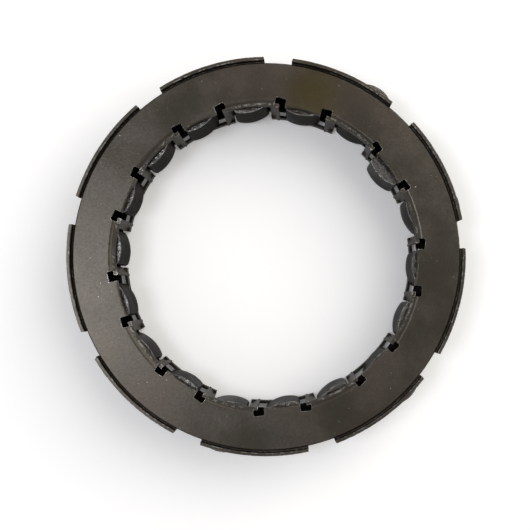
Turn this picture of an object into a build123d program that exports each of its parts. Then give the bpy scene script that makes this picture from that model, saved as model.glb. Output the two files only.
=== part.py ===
from build123d import *
import os
from math import asin, cos, degrees, hypot, radians, sin, sqrt

# Double-cage sprag clutch, as used between a starter gear's hub and its housing.
# Eighteen cam-shaped sprags stand in the windows of two thin steel cages, and a
# corrugated ribbon spring threads their waists. Sizes are in millimetres.
# +Z runs along the clutch axis, and the origin is its middle, level with the floor.

# ---------------------------------------------------------------- races and pieces
inner_race_diameter = 47.0   # hub that turns inside the clutch
sprag_space = 8.33           # radial gap between hub and housing bore
sprag_count = 18             # an even number: plain and tongued windows take turns
first_sprag_angle = 16.0     # degrees from +X to the first sprag, in a plain window
sheet = 0.5                  # steel sheet of both cages

# Sprag: a cam at each end and a waist between them
sprag_length = 9.6           # along the clutch axis
head_width = 5.7
waist_width = 3.8
waist_height = 4.2           # radial height of the hollow in each flank
outer_cam_radius = 4.6
inner_cam_radius = 6.2
cam_offset = 0.75            # sideways step between the two cams' centres: it sets the grip angle
inner_corner_radius = 0.7
outer_corner_radius = 0.5
sprag_end_chamfer = 0.15
spring_rise = 0.10           # how far a free sprag stands proud of the hub's surface
bore_slack = 0.03            # between a free sprag and the housing bore

# How far each loose sprag has slid outward (+) or inward (-) from its working place
sprag_slide = {1: 0.40, 2: -1.10, 3: 0.85, 11: 0.40, 13: 0.45, 16: 0.45}

# Heights
rim_height = 1.45            # solid band below the windows of both cages
end_play = 0.15              # between a sprag's end and the end of its window
lintel_height = 0.8          # outer cage's band above its windows
flange_gap = 0.3             # between the outer cage's rim and the flange over it
lip_rise = 0.75              # lips above the flange

# Outer cage
wall_gap = 1.03              # between the outer cage's wall and the housing bore
lip_gap = 0.18               # between the lips and the housing bore
outer_window_play = 0.65     # each side of a sprag's outer head, for its rocking
floor_gap = 0.2              # between the outer cage's floor and the inner cage inside it
floor_bend_radius = 0.6      # where the wall turns in under the sprags
lip_bend_radius = 0.45       # outside of the bend from the rim up into the lips
lip_edge_chamfer = 0.1       # burnished top edges of the lips
notch_width = 4.2            # gap between two lips, at its root
notch_flare = 0.4            # how much further each side of a notch has opened at its mouth
notch_lead = 9.5             # degrees from a plain window back to the notch beside it

# Inner cage
hub_gap = 0.6                # between the inner cage's wall and the hub
rim_gap = 0.3                # between the flange's edge and the lips around it
inner_window_play = 0.25     # each side of a sprag in a plain window
flange_bend_radius = 1.1     # outside of the bend where the flange turns down into the wall
flange_edge_radius = 0.2     # rolled-over outer edge of the flange
tongue_bend_radius = 0.2     # the same, where a tongue hangs over a sprag
tongue_width = 5.8
slit_width = 1.05            # each side of a tongue
relief_width = 1.75          # notch punched in the bend, above each slit
relief_depth = 1.0           # radially, from the wall's inner face
relief_corner_radius = 0.3
relief_sill = 0.45           # wall left between a window and the relief above it
bar_pilot_gap = 0.33         # between the hub and a bar's inward edge
bar_recess = 0.6             # how far a bar's other edge stands behind the wall's inner face
bar_overlap = 0.4            # how far a bar runs up behind the lintel
bar_corner_radius = 0.2      # rounding of a bar's inward edge

# Ribbon spring
ribbon_sheet = 0.25
ribbon_band = 0.75           # width of the bands above and below its windows
ribbon_window_play = 0.8     # each side of a sprag's waist
hump_radius = 1.3            # outside radius of the round fold between two windows
leaf_height = 4.0            # along the clutch axis
leaf_drop = 1.6              # how far a leaf reaches inward from the ribbon
leaf_gap = 0.3               # between a leaf's tip and the sprag that it presses

# ---------------------------------------------------------------- places worked out
inner_race_radius = inner_race_diameter / 2
outer_race_radius = inner_race_radius + sprag_space
inner_tip_radius = inner_race_radius - spring_rise
outer_tip_radius = outer_race_radius - bore_slack
pivot_radius = outer_tip_radius - outer_cam_radius
pitch_angle = 360 / sprag_count
sprag_angles = [first_sprag_angle + i * pitch_angle for i in range(sprag_count)]
plain_angles = sprag_angles[0::2]
tongued_angles = sprag_angles[1::2]

window_bottom = rim_height
sprag_bottom = window_bottom + end_play
window_top = sprag_bottom + sprag_length + end_play
window_middle = (window_bottom + window_top) / 2
window_height = window_top - window_bottom
outer_rim_top = window_top + lintel_height
flange_bottom = outer_rim_top + flange_gap
flange_top = flange_bottom + sheet
lip_top = flange_top + lip_rise

outer_wall_radius = outer_race_radius - wall_gap
lip_radius = outer_race_radius - lip_gap
flange_radius = lip_radius - sheet - rim_gap
inner_wall_radius = inner_race_radius + hub_gap
pilot_radius = inner_race_radius + bar_pilot_gap
recess_radius = inner_wall_radius + bar_recess
floor_radius = recess_radius + sheet + floor_gap
ribbon_radius = pivot_radius
punch_depth = 3 * sheet      # punches start one sheet before a wall and pass right through


def polar(radius, angle):
    """Point at a radius from the clutch axis and an angle in degrees from +X."""
    return (radius * cos(radians(angle)), radius * sin(radians(angle)))


def facing_out(angle, radius, height):
    """Plane square to a radius: its X runs round the clutch and its Y runs up."""
    x, y = polar(radius, angle)
    return Plane(
        origin=(x, y, height),
        x_dir=(-sin(radians(angle)), cos(radians(angle)), 0),
        z_dir=(cos(radians(angle)), sin(radians(angle)), 0),
    )


def lying_flat(angle, radius, height):
    """Level plane whose X runs outward along a radius."""
    x, y = polar(radius, angle)
    return Plane(
        origin=(x, y, height),
        x_dir=(cos(radians(angle)), sin(radians(angle)), 0),
        z_dir=(0, 0, 1),
    )


def finish(builder, name):
    """Name a finished piece and write it."""
    builder.part.label = name
    export_step(builder.part, f"parts/{name}.step")


os.makedirs("parts", exist_ok=True)

# ---------------------------------------------------------------- outer cage
# A shallow cup with an open floor. Its rim is turned outward and then up, into a
# ring of lips. The rim is notched before the wall is added, so that the notches
# stop cleanly at the wall.
outer_wall_inside = outer_wall_radius - sheet
rim_bottom = outer_rim_top - sheet
lip_inside = lip_radius - sheet
notch_angles = [angle - notch_lead for angle in plain_angles]
notch_root = outer_wall_inside - sheet
rim_inside = outer_wall_radius - sheet / 2
notch_mouth = lip_radius + sheet
with BuildPart() as outer_cage:
    with BuildSketch(Plane.XZ) as rim_section:
        with BuildLine():
            Polyline(
                (rim_inside, rim_bottom),
                (lip_radius, rim_bottom),
                (lip_radius, lip_top),
                (lip_inside, lip_top),
                (lip_inside, outer_rim_top),
                (rim_inside, outer_rim_top),
                close=True,
            )
        make_face()
        fillet(rim_section.vertices().group_by(Axis.X)[-1].sort_by(Axis.Y)[0], lip_bend_radius)
        chamfer(rim_section.vertices().group_by(Axis.Y)[-1], lip_edge_chamfer)
    revolve(axis=Axis.Z)
    with BuildSketch(*[lying_flat(angle, 0, rim_bottom) for angle in notch_angles]):
        with BuildLine():
            Polyline(
                (notch_root, -notch_width / 2),
                (flange_radius, -notch_width / 2),
                (notch_mouth, -notch_width / 2 - notch_flare),
                (notch_mouth, notch_width / 2 + notch_flare),
                (flange_radius, notch_width / 2),
                (notch_root, notch_width / 2),
                close=True,
            )
        make_face()
    extrude(amount=lip_top - rim_bottom, mode=Mode.SUBTRACT)
    with BuildSketch(Plane.XZ) as cup_section:
        with BuildLine():
            Polyline(
                (floor_radius, 0),
                (outer_wall_radius, 0),
                (outer_wall_radius, outer_rim_top),
                (outer_wall_inside, outer_rim_top),
                (outer_wall_inside, sheet),
                (floor_radius, sheet),
                close=True,
            )
        make_face()
        fillet(cup_section.vertices().group_by(Axis.X)[-1].sort_by(Axis.Y)[0], floor_bend_radius)
    revolve(axis=Axis.Z)
    with BuildSketch(*[facing_out(a, outer_wall_inside - sheet, window_middle) for a in sprag_angles]):
        RectangleRounded(head_width + 2 * outer_window_play, window_height, sheet)
    extrude(amount=punch_depth, mode=Mode.SUBTRACT)
finish(outer_cage, "outer_cage")

# ---------------------------------------------------------------- inner cage
# Top: a flat flange that turns down into a short wall over the sprags' ends.
# Between windows stand narrow bars, tied at the bottom under the tongued windows
# only, so the whole wall zigzags round the hub.
inner_wall_outside = inner_wall_radius + sheet
relief_bottom = window_top + relief_sill
relief_middle = (relief_bottom + flange_top) / 2
slit_middle = tongue_width / 2 + slit_width / 2
relief_shift = tongue_width / 2 + relief_width / 2
plain_half_width = head_width / 2 + inner_window_play
plain_half_angle = degrees(asin(plain_half_width / inner_wall_outside))
tongued_half_angle = degrees(asin((tongue_width / 2 + slit_width) / inner_wall_outside))
cut_start = inner_wall_radius - sheet
tongue_middle = (window_top + flange_top) / 2
corner_depth = 2 * (sheet + flange_bend_radius)

with BuildPart() as tongue_corners:
    with BuildSketch(Plane.XZ) as corner_section:
        with BuildLine():
            Polyline(
                (inner_wall_radius, window_top),
                (inner_wall_outside, window_top),
                (inner_wall_outside, flange_bottom),
                (inner_wall_outside + flange_bend_radius, flange_bottom),
                (inner_wall_outside + flange_bend_radius, flange_top),
                (inner_wall_radius, flange_top),
                close=True,
            )
        make_face()
        fillet(corner_section.vertices().group_by(Axis.X)[0].sort_by(Axis.Y)[-1], tongue_bend_radius)
    revolve(axis=Axis.Z)
    with BuildSketch(*[facing_out(a, cut_start, tongue_middle) for a in tongued_angles]):
        Rectangle(tongue_width, 2 * (flange_top - window_top))
    extrude(amount=corner_depth, mode=Mode.INTERSECT)

with BuildPart() as inner_cage:
    with BuildSketch(Plane.XZ) as flange_section:
        with BuildLine():
            Polyline(
                (inner_wall_radius, window_top),
                (inner_wall_outside, window_top),
                (inner_wall_outside, flange_bottom),
                (flange_radius, flange_bottom),
                (flange_radius, flange_top),
                (inner_wall_radius, flange_top),
                close=True,
            )
        make_face()
        under_flange = flange_section.vertices().group_by(Axis.Y)[1].sort_by(Axis.X)
        fillet(under_flange[0], flange_bend_radius - sheet)
        top_corners = flange_section.vertices().group_by(Axis.Y)[-1].sort_by(Axis.X)
        fillet(top_corners[0], flange_bend_radius)
        top_corners = flange_section.vertices().group_by(Axis.Y)[-1].sort_by(Axis.X)
        fillet(top_corners[-1], flange_edge_radius)
    revolve(axis=Axis.Z)
    with BuildSketch(*[facing_out(a, cut_start, window_top) for a in tongued_angles]):
        with Locations((-slit_middle, 0), (slit_middle, 0)):
            Rectangle(slit_width, 2 * (relief_middle - window_top))
    extrude(amount=sheet + relief_depth, mode=Mode.SUBTRACT)
    with BuildSketch(*[lying_flat(a, cut_start, relief_bottom) for a in tongued_angles]):
        with Locations((0, -relief_shift), (0, relief_shift)):
            RectangleRounded(2 * (sheet + relief_depth), relief_width, relief_corner_radius)
    extrude(amount=flange_top - relief_bottom, mode=Mode.SUBTRACT)
    add(tongue_corners.part)
    with BuildSketch():
        Circle(inner_wall_outside)
        Circle(inner_wall_radius, mode=Mode.SUBTRACT)
    extrude(amount=rim_height)
    with BuildSketch(*[facing_out(a, cut_start, rim_height / 2) for a in plain_angles]):
        Rectangle(2 * plain_half_width, 2 * rim_height)
    extrude(amount=punch_depth, mode=Mode.SUBTRACT)
    with BuildSketch() as bars:
        for angle in tongued_angles:
            for side in (-1, 1):
                slit_edge = angle + side * tongued_half_angle
                plain_edge = angle + side * (pitch_angle - plain_half_angle)
                with BuildLine():
                    Polyline(
                        polar(pilot_radius, slit_edge),
                        polar(recess_radius, plain_edge),
                        polar(recess_radius + sheet, plain_edge),
                        polar(pilot_radius + sheet, slit_edge),
                        close=True,
                    )
                make_face()
        inward_edges = [v for v in bars.vertices() if hypot(v.X, v.Y) < pilot_radius + sheet / 2]
        fillet(inward_edges, bar_corner_radius)
    extrude(amount=window_top + bar_overlap)
finish(inner_cage, "inner_cage")

# ---------------------------------------------------------------- ribbon spring
# A closed strip round the sprags' waists, with a round fold between windows and a
# leaf at one edge of each window that presses on the sprag's inner head.
ribbon_bottom = window_bottom - ribbon_band
ribbon_top = window_top + ribbon_band
ribbon_outside = ribbon_radius + ribbon_sheet / 2
ribbon_inside = ribbon_radius - ribbon_sheet / 2
gap_angles = [angle + pitch_angle / 2 for angle in sprag_angles]
ribbon_window_width = waist_width + 2 * ribbon_window_play
leaf_root = -(ribbon_window_width / 2 + ribbon_sheet)
leaf_tip = -(head_width / 2 + leaf_gap)
leaf_bottom = window_middle - leaf_height / 2
with BuildPart() as ribbon_spring:
    with BuildSketch(Plane.XY.offset(ribbon_bottom)):
        Circle(ribbon_outside)
        with Locations(*[polar(ribbon_radius, angle) for angle in gap_angles]):
            Circle(hump_radius)
            Circle(hump_radius - ribbon_sheet, mode=Mode.SUBTRACT)
        Circle(ribbon_inside, mode=Mode.SUBTRACT)
    extrude(amount=ribbon_top - ribbon_bottom)
    with BuildSketch(*[facing_out(a, ribbon_inside - ribbon_sheet, window_middle) for a in sprag_angles]):
        RectangleRounded(ribbon_window_width, window_height, sheet)
    extrude(amount=4 * ribbon_sheet, mode=Mode.SUBTRACT)
    with BuildSketch(*[lying_flat(a, ribbon_radius, leaf_bottom) for a in sprag_angles]):
        with BuildLine():
            Polyline(
                (0, leaf_root),
                (-leaf_drop, leaf_tip - ribbon_sheet),
                (-leaf_drop, leaf_tip),
                (0, leaf_root + ribbon_sheet),
                close=True,
            )
        make_face()
    extrude(amount=leaf_height)
finish(ribbon_spring, "ribbon_spring")

# ---------------------------------------------------------------- sprags
# Seen along the axis: the outer cam is an arc about the pivot, and the inner cam is
# a flatter arc whose centre stands cam_offset to one side. X runs outward, from the
# pivot, and Y runs round the clutch.
half_head = head_width / 2
inner_tip = inner_tip_radius - pivot_radius
inner_cam_centre = inner_tip + inner_cam_radius
outer_corner = sqrt(outer_cam_radius**2 - half_head**2)


def inner_cam(across):
    """Distance out from the pivot to the inner cam, at a distance round the clutch."""
    return inner_cam_centre - sqrt(inner_cam_radius**2 - (across - cam_offset) ** 2)


# One flank of the inner head is short, because the cam is offset. The hollow leaves a fifth
# of it at least, and the head's corners take what fits beside the end chamfer.
short_flank = -inner_cam(-half_head)
half_waist_height = min(waist_height / 2, 0.8 * short_flank)
inner_corner = min(inner_corner_radius, 1.3 * (short_flank - half_waist_height))


def make_sprag(angle, slide):
    """One sprag, standing in its window."""
    with BuildPart() as sprag:
        with BuildSketch(lying_flat(angle, pivot_radius + slide, sprag_bottom)) as outline:
            with BuildLine():
                ThreePointArc(
                    (outer_corner, -half_head),
                    (outer_cam_radius, 0),
                    (outer_corner, half_head),
                )
                Line((outer_corner, half_head), (half_waist_height, half_head))
                ThreePointArc(
                    (half_waist_height, half_head),
                    (0, waist_width / 2),
                    (-half_waist_height, half_head),
                )
                Line((-half_waist_height, half_head), (inner_cam(half_head), half_head))
                ThreePointArc(
                    (inner_cam(half_head), half_head),
                    (inner_tip, cam_offset),
                    (inner_cam(-half_head), -half_head),
                )
                Line((inner_cam(-half_head), -half_head), (-half_waist_height, -half_head))
                ThreePointArc(
                    (-half_waist_height, -half_head),
                    (0, -waist_width / 2),
                    (half_waist_height, -half_head),
                )
                Line((half_waist_height, -half_head), (outer_corner, -half_head))
            make_face()
            fillet(outline.vertices().sort_by(Axis.X)[:2], inner_corner)
            fillet(outline.vertices().sort_by(Axis.X)[-2:], outer_corner_radius)
        extrude(amount=sprag_length)
        chamfer(sprag.faces().filter_by(Axis.Z).edges(), sprag_end_chamfer)
    return sprag


for number, angle in enumerate(sprag_angles, start=1):
    sprag = make_sprag(angle, sprag_slide.get(number, 0))
    finish(sprag, f"sprag_{number:02d}")
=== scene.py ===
# %% [markdown]
# # A double-cage sprag clutch
# A sprag clutch lets a shaft turn one way and grips it the other. Eighteen cam-shaped
# sprags stand in two windowed cages, and a folded spring tips them all alike. This
# lesson dresses it in worn, oiled steel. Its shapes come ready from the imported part,
# so no piece is modelled here: the work is in the finishes, the light and the camera.
# Lengths are in metres. +Z runs along the clutch axis, from the floor to the lips.

import bpy
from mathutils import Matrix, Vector


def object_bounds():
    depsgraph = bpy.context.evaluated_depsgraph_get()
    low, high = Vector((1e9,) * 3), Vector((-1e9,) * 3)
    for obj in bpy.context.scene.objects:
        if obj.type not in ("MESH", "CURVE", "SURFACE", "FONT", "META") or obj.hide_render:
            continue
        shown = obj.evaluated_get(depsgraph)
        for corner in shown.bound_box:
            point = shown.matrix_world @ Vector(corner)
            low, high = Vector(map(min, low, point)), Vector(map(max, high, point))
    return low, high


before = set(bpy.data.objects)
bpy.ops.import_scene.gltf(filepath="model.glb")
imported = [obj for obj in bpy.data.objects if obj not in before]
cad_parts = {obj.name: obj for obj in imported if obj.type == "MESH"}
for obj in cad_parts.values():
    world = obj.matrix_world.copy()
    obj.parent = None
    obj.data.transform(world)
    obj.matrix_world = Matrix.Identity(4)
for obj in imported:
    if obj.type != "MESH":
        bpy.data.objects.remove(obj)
cad_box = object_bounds()
MM = 0.001
print("nodes:", len(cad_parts), "box:", [tuple(round(c / MM, 2) for c in p) for p in cad_box])

# %% [markdown]
# ## Helpers for building materials
# A material here is a small program of nodes. Drawing it by hand in the editor works
# too, but code can be read and run again, so a few short helpers add the nodes. What
# several steels share goes in a node group, whose sockets `interface.new_socket` makes.
# A group puts out only masks and values: the shader itself stays in the material.

# %% Helpers for node trees
def socket(tree, name, kind, default=None, out=False):
    """Declares one input or output on a group and sets its default."""
    s = tree.interface.new_socket(name, in_out="OUTPUT" if out else "INPUT", socket_type=kind)
    if default is not None:
        s.default_value = default
    return s


def node(tree, kind, **settings):
    """Adds a node and sets its properties."""
    made = tree.nodes.new(kind)
    for key, value in settings.items():
        setattr(made, key, value)
    return made


def put_out(tree, made):
    """Declares an output on a group for each name in made, and links its value there."""
    for name in made:
        socket(tree, name, "NodeSocketFloat", out=True)
    end = node(tree, "NodeGroupOutput")
    for name, value in made.items():
        tree.links.new(value, end.inputs[name])


def object_coords(tree):
    """The place on the piece, in metres, which moves with it."""
    return node(tree, "ShaderNodeTexCoord").outputs["Object"]


def noise(tree, coords, scale, detail=4.0, roughness=0.55):
    """3-D noise on Object coordinates: scale is in bumps per metre."""
    made = node(tree, "ShaderNodeTexNoise")
    made.inputs["Scale"].default_value = scale
    made.inputs["Detail"].default_value = detail
    made.inputs["Roughness"].default_value = roughness
    tree.links.new(coords, made.inputs["Vector"])
    return made.outputs["Fac"]


def band(tree, value, low, high):
    """Turns a value into a mask: 0 at low, 1 at high, smooth between. Low may be the larger."""
    made = node(tree, "ShaderNodeMapRange", interpolation_type="SMOOTHSTEP")
    made.inputs["From Min"].default_value = low
    made.inputs["From Max"].default_value = high
    tree.links.new(value, made.inputs["Value"])
    return made.outputs["Result"]


def arithmetic(tree, operation, a, b):
    """One Math node. a and b are sockets or plain numbers."""
    made = node(tree, "ShaderNodeMath", operation=operation)
    for slot, value in zip(made.inputs, (a, b)):
        if isinstance(value, (int, float)):
            slot.default_value = value
        else:
            tree.links.new(value, slot)
    return made.outputs[0]


def mix_colour(tree, mask, a, b):
    """Colour a where the mask is 0 and b where it is 1."""
    made = node(tree, "ShaderNodeMix", data_type="RGBA")
    tree.links.new(mask, made.inputs["Factor"])
    for slot, value in ((made.inputs[6], a), (made.inputs[7], b)):
        if isinstance(value, tuple):
            slot.default_value = value
        else:
            tree.links.new(value, slot)
    return made.outputs[2]


def scaled(colour, factor):
    """The same colour with each channel times factor."""
    return tuple(factor * channel for channel in colour[:3]) + (1,)


print("helpers ready")

# %% [markdown]
# ## Oil and handling marks
# The real ring has been oiled and handled: broad cloudy patches where the film is
# thicker, a warm tint in places, a fine grain from rolling and tumbling, rare bright
# specks, and pits in the ends of the sprags. An image of steel could be wrapped on, but
# noise has no seams and fits any piece. One group makes it all, so that every steel on
# the clutch is dirty in the same way.

# %% Group: oil film
def oil_film_group():
    """Each output is noise at its own scale. Cloud, Tint and Specks are stretched to masks."""
    g = bpy.data.node_groups.new("oil film", "ShaderNodeTree")
    coords = object_coords(g)
    made = {
        "Cloud": band(g, noise(g, coords, 95.0), 0.36, 0.64),
        "Tint": band(g, noise(g, coords, 48.0, 2.0), 0.50, 0.68),
        "Grain": noise(g, coords, 2600.0, 3.0, 0.7),
        "Specks": band(g, noise(g, coords, 2300.0, 2.0, 0.6), 0.73, 0.79),
        "Pits": noise(g, coords, 1000.0, 3.0, 0.6),
    }
    put_out(g, made)
    return g


oil_film = oil_film_group()
print("group:", oil_film.name, [s.name for s in oil_film.interface.items_tree])

# %% [markdown]
# ## Worn edges and painted glints
# Edges rub bright first. They could be painted by hand, but the Bevel node finds them:
# it rounds the shading normal near an edge, so where that leaves the true normal there
# is an edge. The dot product of the two is 1 on a flat and falls towards an edge. Noise
# then breaks the line into flecks, as real wear is never even. These bright flecks are
# also painted highlights: glints along the edges.

# %% Group: edge wear and painted glints
EDGE_REACH = 0.16 * MM


# Edge is partly real wear and partly painted highlights: glints along the edges.
def edge_wear_and_glint_group():
    """Edge = 1 - (rounded normal . true normal), stretched to 0..1, times Flecks.
    Flecks = long patches . fine flecks + the even share that Break gives, at most 1."""
    g = bpy.data.node_groups.new("edge wear and painted glints", "ShaderNodeTree")
    socket(g, "Break", "NodeSocketFloat", 0.35)
    start = node(g, "NodeGroupInput")
    bevel = node(g, "ShaderNodeBevel", samples=6)
    bevel.inputs["Radius"].default_value = EDGE_REACH
    true = node(g, "ShaderNodeNewGeometry")
    dot = node(g, "ShaderNodeVectorMath", operation="DOT_PRODUCT")
    g.links.new(bevel.outputs["Normal"], dot.inputs[0])
    g.links.new(true.outputs["Normal"], dot.inputs[1])
    edge = band(g, arithmetic(g, "SUBTRACT", 1.0, dot.outputs["Value"]), 0.06, 0.26)
    coords = object_coords(g)
    patchy = band(g, noise(g, coords, 420.0), 0.40, 0.60)
    flecks = band(g, noise(g, coords, 2400.0, 2.0), 0.46, 0.60)
    broken = arithmetic(g, "MULTIPLY", patchy, flecks)
    kept = arithmetic(g, "MINIMUM", arithmetic(g, "ADD", broken, start.outputs["Break"]), 1.0)
    put_out(g, {"Edge": arithmetic(g, "MULTIPLY", edge, kept), "Flecks": kept})
    return g


edge_wear_and_glints = edge_wear_and_glint_group()
print("group:", edge_wear_and_glints.name)

# %% [markdown]
# ## Oil and painted shade on the walls, painted glints on the bends
# Upright faces get a plain tone of their own, set by how dark the bore's walls look:
# partly oil, partly painted shade. A face's own normal says which it is: its Z is 1 on a
# level face and 0 on a wall. A wall is also rougher, and still steel. Half way between the
# two the sheet is bent, so the same normal also gives a mask for the bends, where painted
# highlights go.

# %% Group: walls and bends
def walls_and_bends_group():
    """Wall = 1 where the size of the normal's Z is under 0.35, 0 where it is over 0.85.
    Bend = 4 . wall . (1 - wall), so it is 1 half way between and 0 on both."""
    g = bpy.data.node_groups.new("walls and bends", "ShaderNodeTree")
    normal = node(g, "ShaderNodeTexCoord").outputs["Normal"]
    parts = node(g, "ShaderNodeSeparateXYZ")
    g.links.new(normal, parts.inputs["Vector"])
    size = arithmetic(g, "ABSOLUTE", parts.outputs["Z"], 0.0)
    wall = band(g, size, 0.85, 0.35)
    between = arithmetic(g, "MULTIPLY", wall, arithmetic(g, "SUBTRACT", 1.0, wall))
    put_out(g, {"Wall": wall, "Bend": arithmetic(g, "MULTIPLY", between, 4.0)})
    return g


walls_and_bends = walls_and_bends_group()
print("group:", walls_and_bends.name)

# %% [markdown]
# ## The colour of oiled steel
# Steel under an oil film is not one colour. It could be mixed in one long chain, but it
# is easier to follow as layers: clouds, grain and tint on the level faces, a tone on the
# walls that is oil and painted shade, and last bright bare metal on worn edges and specks,
# which also serves as painted glints on the edges and the bends.

# %% Layers of colour
GRAIN_SHADE = 0.72
GRAIN_SHARE, TINT_SHARE = 0.6, 0.45
# The bends' share of the bright colour is a painted highlight: glints along the bends.
BEND_GLINT_SHARE, SPECK_SHARE = 0.65, 0.5
# The walls' tone as a share of dark: partly oil, partly painted shade.
WALL_OIL_AND_SHADE_TONE = 1.6


def wear_and_painted_glints(t, film, upright, edges):
    """Largest of the worn edges (wear and painted glints), the flecked bends (painted glints) and
    the specks.
    """
    # Bends get bright flecks: painted highlights, glints along the bends.
    bends = arithmetic(t, "MULTIPLY", upright.outputs["Bend"], edges.outputs["Flecks"])
    bends = arithmetic(t, "MULTIPLY", bends, BEND_GLINT_SHARE)
    specks = arithmetic(t, "MULTIPLY", film.outputs["Specks"], SPECK_SHARE)
    return arithmetic(t, "MAXIMUM", arithmetic(t, "MAXIMUM", edges.outputs["Edge"], bends), specks)


def steel_colour(t, film, upright, edges, dark, light, tint, wear_and_glint_colour):
    """Dark to light by cloud, then darker grain, then tint, then the walls' tone (oil and painted
    shade), then worn metal and painted glints.
    """
    colour = mix_colour(t, film.outputs["Cloud"], dark, light)
    grain = arithmetic(t, "MULTIPLY", band(t, film.outputs["Grain"], 0.75, 0.25), GRAIN_SHARE)
    colour = mix_colour(t, grain, colour, scaled(dark, GRAIN_SHADE))
    warm = arithmetic(t, "MULTIPLY", film.outputs["Tint"], TINT_SHARE)
    colour = mix_colour(t, warm, colour, tint)
    # The walls' plain tone is partly oil and partly painted shade.
    colour = mix_colour(t, upright.outputs["Wall"], colour, scaled(dark, WALL_OIL_AND_SHADE_TONE))
    # Last the bright colour: worn metal, and painted highlights (glints) on edges and bends.
    return mix_colour(t, wear_and_painted_glints(t, film, upright, edges), colour, wear_and_glint_colour)


print("colour layers ready")

# %% [markdown]
# ## The feel of oiled steel
# Roughness follows the oil film, and walls are a little rougher. The relief is a bump:
# fine grain everywhere, and pits only on level faces, because a sprag is ground smooth
# round its cams and left as cropped on its ends.

# %% Roughness and relief
WALL_ROUGHER = 0.10
RELIEF_DEPTH = 0.02 * MM


def film_roughness(t, film, upright, least, spread):
    """Least + spread . cloud + WALL_ROUGHER . wall."""
    clouds = arithmetic(t, "MULTIPLY", film.outputs["Cloud"], spread)
    walls = arithmetic(t, "MULTIPLY", upright.outputs["Wall"], WALL_ROUGHER)
    return arithmetic(t, "ADD", arithmetic(t, "ADD", clouds, least), walls)


def steel_relief(t, film, upright, strength, pits):
    """Bump whose height = grain + pits . (1 - wall)."""
    level = arithmetic(t, "SUBTRACT", 1.0, upright.outputs["Wall"])
    pitted = arithmetic(t, "MULTIPLY", arithmetic(t, "MULTIPLY", film.outputs["Pits"], pits), level)
    relief = node(t, "ShaderNodeBump")
    relief.inputs["Strength"].default_value = strength
    relief.inputs["Distance"].default_value = RELIEF_DEPTH
    t.links.new(arithmetic(t, "ADD", film.outputs["Grain"], pitted), relief.inputs["Height"])
    return relief.outputs["Normal"]


print("relief ready:", RELIEF_DEPTH / MM, "mm for each unit of height")

# %% [markdown]
# ## Three steels
# All three are Principled metals. The cages are rolled sheet under an oil film, the
# sprags are ground and hardened, and the ribbon is blued spring strip, deep in shadow.
# Specular Tint is how much a metal mirrors at a glancing angle. At white, a wall that
# is looked along turns into a mirror of the table, so it is darkened. Darkened too far,
# it also dulls the flange from the side, so the cages keep about half.

# %% A steel
def steel(name, dark, light, tint, wear_and_glint_colour, rough, rough_spread, break_up, bump, pits, glancing):
    """A metal with the layers of colour, roughness and relief, and one glancing tint."""
    m = bpy.data.materials.new(name)
    m.use_nodes = True
    t = m.node_tree
    shader = t.nodes["Principled BSDF"]
    shader.inputs["Metallic"].default_value = 1.0
    shader.inputs["Specular Tint"].default_value = scaled((1, 1, 1), glancing)
    film = node(t, "ShaderNodeGroup", node_tree=oil_film)
    upright = node(t, "ShaderNodeGroup", node_tree=walls_and_bends)
    edges = node(t, "ShaderNodeGroup", node_tree=edge_wear_and_glints)
    edges.inputs["Break"].default_value = break_up
    colour = steel_colour(t, film, upright, edges, dark, light, tint, wear_and_glint_colour)
    t.links.new(colour, shader.inputs["Base Color"])
    t.links.new(film_roughness(t, film, upright, rough, rough_spread), shader.inputs["Roughness"])
    t.links.new(steel_relief(t, film, upright, bump, pits), shader.inputs["Normal"])
    return m


print("steel ready, from the groups", oil_film.name, walls_and_bends.name, edge_wear_and_glints.name)

# %% The cages, the sprags and the ribbon
# The bright colour goes on worn edges and specks, and as painted glints on edges and bends.
cage_steel = steel(
    "oiled cage steel", dark=(0.038, 0.033, 0.026, 1), light=(0.056, 0.049, 0.041, 1),
    tint=(0.052, 0.040, 0.033, 1), wear_and_glint_colour=(0.55, 0.53, 0.50, 1),
    rough=0.24, rough_spread=0.08, break_up=0.12, bump=0.60, pits=0.0, glancing=0.55)
sprag_steel = steel(
    "ground sprag steel", dark=(0.060, 0.056, 0.052, 1), light=(0.100, 0.096, 0.092, 1),
    tint=(0.066, 0.052, 0.044, 1), wear_and_glint_colour=(0.60, 0.60, 0.58, 1),
    rough=0.13, rough_spread=0.12, break_up=0.20, bump=1.00, pits=7.0, glancing=0.20)
spring_steel = steel(
    "blued spring strip", dark=(0.018, 0.019, 0.022, 1), light=(0.032, 0.033, 0.038, 1),
    tint=(0.030, 0.024, 0.018, 1), wear_and_glint_colour=(0.14, 0.14, 0.14, 1),
    rough=0.30, rough_spread=0.10, break_up=0.10, bump=0.20, pits=0.0, glancing=0.06)
print("materials:", [m.name for m in (cage_steel, sprag_steel, spring_steel)])

# %% [markdown]
# ## A spot of dried oil
# At one place on the flange the oil has dried to olive. It could be painted on an
# image, but the distance from one point in Object coordinates needs no image, and the
# spot stays on the metal when the clutch is moved.

# %% Dried oil on the flange
FLANGE_TOP = 12.95 * MM


def dried_oil(material, place, full_within, gone_beyond, strength, colour):
    """Mask = strength up to full_within from place, falling to 0 at gone_beyond."""
    t = material.node_tree
    base = t.nodes["Principled BSDF"].inputs["Base Color"]
    clean = base.links[0].from_socket
    away = node(t, "ShaderNodeVectorMath", operation="DISTANCE")
    t.links.new(object_coords(t), away.inputs[0])
    away.inputs[1].default_value = place
    mask = band(t, away.outputs["Value"], gone_beyond, full_within)
    t.links.new(mix_colour(t, arithmetic(t, "MULTIPLY", mask, strength), clean, colour), base)


dried_oil(cage_steel, place=(7.4 * MM, 26.0 * MM, FLANGE_TOP), full_within=1.0 * MM,
          gone_beyond=6.5 * MM, strength=0.8, colour=(0.038, 0.030, 0.012, 1))
print("one olive spot on", cage_steel.name)

# %% [markdown]
# ## Dress the pieces
# Each node could be dressed by hand, but the names already say what each one is made
# of.

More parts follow.
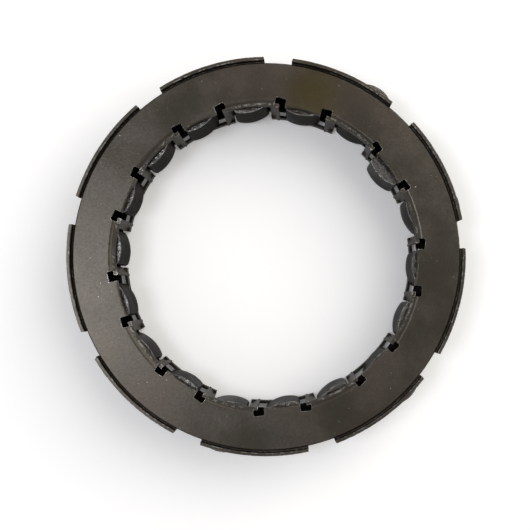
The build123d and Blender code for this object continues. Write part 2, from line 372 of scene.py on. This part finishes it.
# %% Put the finishes on the pieces
def finish_of(name):
    """The material that a node takes, and a name for its finish, both by its name."""
    if name.endswith("_cage"):
        return cage_steel, "cage_steel"
    if name == "ribbon_spring":
        return spring_steel, "spring_steel"
    return sprag_steel, "sprag_steel"


for name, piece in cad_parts.items():
    material, slot = finish_of(name)
    piece.data.materials.clear()
    piece.data.materials.append(material)
print("dressed", len(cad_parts), "pieces")

# %% [markdown]
# ## Who sees the background
# Both the table and the world turn white only where they are looked at, straight or in
# a mirror. The Light Path node says which kind of ray has arrived.

# %% Who sees the background
def seen_directly(tree):
    """1 for a ray from the camera, or one mirrored or let through towards it, else 0."""
    path = node(tree, "ShaderNodeLightPath")
    seen = arithmetic(tree, "MAXIMUM", path.outputs["Is Camera Ray"], path.outputs["Is Glossy Ray"])
    return arithmetic(tree, "MAXIMUM", seen, path.outputs["Is Transmission Ray"])


print("background helper ready")

# %% [markdown]
# ## The table
# The clutch lies on a plain white table. More light would whiten it too, but that light
# would also fall on the steel and lighten the sprags. So the table glows a little
# instead, and only where it is looked at. It keeps its shadow near the clutch, and the
# glow grows far away, where the lamps no longer reach.

# %% White table
NEAR_GLOW, FAR_GLOW = 0.12, 0.43
GLOW_GROWS = (0.15, 0.9)


def white_table():
    """Glow where seen = NEAR_GLOW + FAR_GLOW . (0 to 1 over GLOW_GROWS metres from the middle)."""
    m = bpy.data.materials.new("white table")
    m.use_nodes = True
    t = m.node_tree
    shader = t.nodes["Principled BSDF"]
    shader.inputs["Base Color"].default_value = (1.0, 0.99, 0.975, 1)
    shader.inputs["Roughness"].default_value = 0.9
    shader.inputs["Emission Color"].default_value = (1, 1, 1, 1)
    away = node(t, "ShaderNodeVectorMath", operation="LENGTH")
    t.links.new(object_coords(t), away.inputs[0])
    far = arithmetic(t, "MULTIPLY", band(t, away.outputs["Value"], *GLOW_GROWS), FAR_GLOW)
    glow = arithmetic(t, "MULTIPLY", arithmetic(t, "ADD", far, NEAR_GLOW), seen_directly(t))
    t.links.new(glow, shader.inputs["Emission Strength"])
    return m


underside = cad_box[0][2]
JUST_CLEAR = 0.02 * MM
bpy.ops.mesh.primitive_plane_add(size=6.0, location=(0, 0, underside - JUST_CLEAR))
floor = bpy.context.object
floor.name = "floor"
floor.data.materials.append(white_table())
print("floor at", round(floor.location.z / MM, 3), "mm")

# %% [markdown]
# ## Light
# A flat satin ring mirrors what stands almost straight above it, a little further out
# on each side. So a small cool softbox high up on the left lights only the ring's left,
# where a large one would light it all. A broad weak warm one fills from the right, and
# a pale world keeps the bore from going black.

# %% Lamps and world
def softbox(name, place, watts, size, colour):
    """A square area lamp that faces the clutch."""
    lamp = bpy.data.objects.new(name, bpy.data.lights.new(name, "AREA"))
    lamp.data.energy, lamp.data.size, lamp.data.color = watts, size, colour
    lamp.location = place
    lamp.rotation_euler = (-Vector(place)).to_track_quat("-Z", "Y").to_euler()
    bpy.context.collection.objects.link(lamp)
    return lamp


COOL, WARM = (0.92, 0.96, 1.07), (1.02, 1.00, 0.96)
softbox("key softbox", (-0.140, -0.010, 0.46), watts=0.44, size=0.11, colour=COOL)
softbox("fill softbox", (0.28, 0.20, 0.40), watts=1.7, size=0.50, colour=WARM)
ROOM_LIGHT = 0.45
world = bpy.data.worlds.new("white room")
bpy.context.scene.world = world
world.use_nodes = True
w = world.node_tree
room = node(w, "ShaderNodeBackground")
room.inputs["Color"].default_value = (1, 1, 1, 1)
w.links.new(arithmetic(w, "MAXIMUM", seen_directly(w), ROOM_LIGHT), room.inputs["Strength"])
w.links.new(room.outputs[0], w.nodes["World Output"].inputs["Surface"])
bpy.context.scene.view_settings.view_transform = "Standard"

# %% [markdown]
# ## Camera
# A 68 mm lens on a 36 mm frame, looking straight down from about 160 mm above the
# flange. It stands a few millimetres off the axis, so a little more of the bore's
# wall shows at the upper left. Turning the camera to aim at the ring would make its
# circle an ellipse, so the picture is shifted on the sensor instead. SEEN_AXIS is where
# the clutch's axis then stands, right of and above the middle of the picture, measured
# at the flange.

# %% Camera
CAMERA_HEIGHT = 159.2 * MM
camera = bpy.data.objects.new("camera", bpy.data.cameras.new("camera"))
camera.data.lens, camera.data.sensor_width = 68.0, 36.0
camera.location = (4.6 * MM, -6.0 * MM, FLANGE_TOP + CAMERA_HEIGHT)
SEEN_AXIS = (0.19 * MM, 1.32 * MM)
across = CAMERA_HEIGHT * camera.data.sensor_width / camera.data.lens
camera.data.shift_x = (-camera.location.x - SEEN_AXIS[0]) / across
camera.data.shift_y = (-camera.location.y - SEEN_AXIS[1]) / across
camera.data.clip_start, camera.data.clip_end = 1 * MM, 10.0
bpy.context.collection.objects.link(camera)
bpy.context.scene.camera = camera
print("camera shift", round(camera.data.shift_x, 4), round(camera.data.shift_y, 4))
